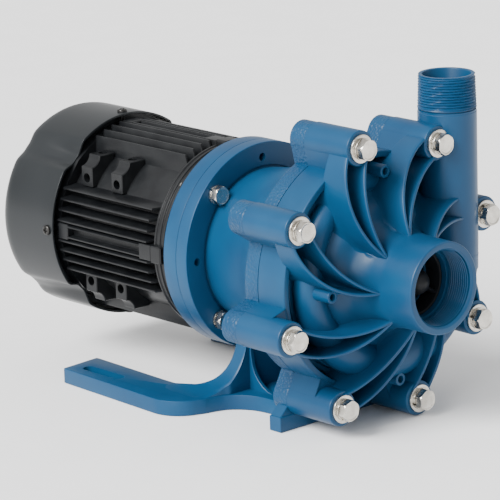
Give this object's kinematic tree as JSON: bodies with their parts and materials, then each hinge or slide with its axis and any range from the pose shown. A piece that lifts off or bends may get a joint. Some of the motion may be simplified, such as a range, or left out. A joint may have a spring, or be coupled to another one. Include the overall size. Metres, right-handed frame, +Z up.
{
  "type": "centrifugal water pump",
  "caption": "Close-coupled magnetic-drive centrifugal pump with a ribbed plastic casing, a top discharge, a slotted foot and a finned, fan-cooled electric motor.",
  "frame": {"origin": "on the foot's underside, below the shaft axis, at the joint between the casing and the motor adapter", "axes": "+Z up, +Y along the shaft from the suction port towards the motor, +X towards the discharge side"},
  "size_m": [0.2458, 0.4463, 0.2737],
  "materials": {
    "blue_plastic": "moulded glass-filled polypropylene, satin",
    "dark_plastic": "moulded, matte",
    "black_metal": "semi-gloss black paint on cast and pressed metal",
    "stainless": "stainless fasteners, rolled and turned",
    "steel": "machined steel",
    "copper": "varnished copper winding",
    "ceramic": "ground alumina",
    "carbon": "carbon bushing",
    "rubber": "moulded elastomer"
  },
  "bodies": {
    "root": {"adapter_bolt_1": "stainless", "adapter_bolt_2": "stainless", "adapter_bolt_3": "stainless", "adapter_bolt_4": "stainless", "adapter_ring": "blue_plastic", "barrier": "blue_plastic", "cable_gland": "dark_plastic", "casing_bolt_1": "stainless", "casing_bolt_2": "stainless", "casing_bolt_3": "stainless", "casing_bolt_4": "stainless", "casing_bolt_5": "stainless", "casing_bolt_6": "stainless", "casing_bolt_7": "stainless", "casing_bolt_8": "stainless", "casing_o_ring": "rubber", "casing_washer_1": "stainless", "casing_washer_2": "stainless", "casing_washer_3": "stainless", "casing_washer_4": "stainless", "casing_washer_5": "stainless", "casing_washer_6": "stainless", "casing_washer_7": "stainless", "casing_washer_8": "stainless", "cowl_screw_1": "black_metal", "cowl_screw_2": "black_metal", "cowl_screw_3": "black_metal", "cowl_screw_4": "black_metal", "discharge_pipe": "blue_plastic", "fan_cowl": "black_metal", "foot_bolt_1": "stainless", "foot_bolt_2": "stainless", "front_bearing": "steel", "front_casing": "blue_plastic", "front_end_shield": "black_metal", "motor_adapter": "blue_plastic", "motor_frame": "black_metal", "pump_shaft": "ceramic", "rear_bearing": "steel", "rear_end_shield": "black_metal", "shaft_support": "dark_plastic", "shield_screw_1": "black_metal", "shield_screw_2": "black_metal", "shield_screw_3": "black_metal", "shield_screw_4": "black_metal", "stator_core": "steel", "suction_socket": "blue_plastic", "support_foot": "blue_plastic", "terminal_box": "black_metal", "terminal_box_lid": "black_metal", "winding_front": "copper", "winding_rear": "copper"},
    "motor_rotor": {"motor_shaft": "steel", "rotor_core": "steel", "drive_key": "steel", "outer_magnet": "dark_plastic", "cooling_fan": "dark_plastic"},
    "impeller_rotor": {"impeller": "dark_plastic", "impeller_bushing": "carbon", "inner_magnet": "dark_plastic"}
  },
  "joints": [
    {"name": "motor_spin", "type": "hinge", "parent": "root", "child": "motor_rotor", "pos_m": [0, 0.2, 0.124], "axis": [0, 1, 0], "continuous": true},
    {"name": "impeller_spin", "type": "hinge", "parent": "root", "child": "impeller_rotor", "pos_m": [0, 0, 0.124], "axis": [0, 1, 0], "continuous": true}
  ],
  "couplings": [
    {"joint": "impeller_spin", "follows": "motor_spin", "ratio": 1}
  ]
}
